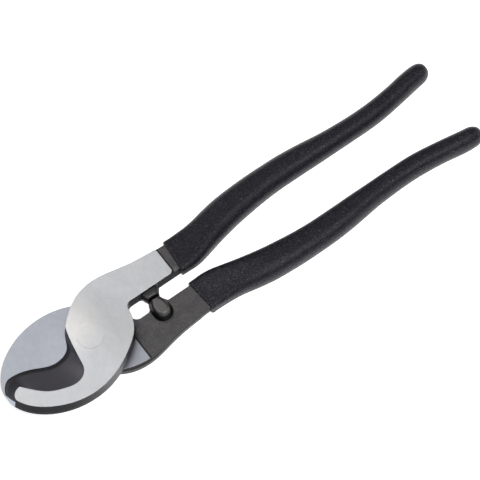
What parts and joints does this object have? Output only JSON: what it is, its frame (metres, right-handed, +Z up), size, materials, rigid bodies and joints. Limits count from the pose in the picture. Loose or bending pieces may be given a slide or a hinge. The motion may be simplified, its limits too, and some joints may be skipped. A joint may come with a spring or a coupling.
{
  "type": "cable cutter",
  "caption": "Hand cable cutter with two hooked shear jaws on a flush pivot, forged stop lugs and long curved handles in dark dipped grips.",
  "frame": {"origin": "on the pivot axis, at the rear lever's ground outer face, on which the tool lies", "axes": "+X from the pivot towards the handles, along the centre line of the closed tool; +Z up, along the pivot axis, from the rear lever to the front lever; +Y towards the front lever's handle"},
  "size_m": [0.2396, 0.0494, 0.0127],
  "materials": {
    "forged_steel": "satin ground head, dark forged neck",
    "rivet_steel": "satin, ground flush",
    "grip_vinyl": "matt, fine grain"
  },
  "bodies": {
    "rear_half": {"rear_lever": "forged_steel", "pivot_rivet": "rivet_steel", "rear_grip": "grip_vinyl"},
    "front_half": {"front_lever": "forged_steel", "front_grip": "grip_vinyl"}
  },
  "joints": [
    {"name": "pivot", "type": "hinge", "parent": "rear_half", "child": "front_half", "pos_m": [0, 0, 0.0064], "axis": [0, 0, 1], "range_deg": [0, 38]}
  ]
}
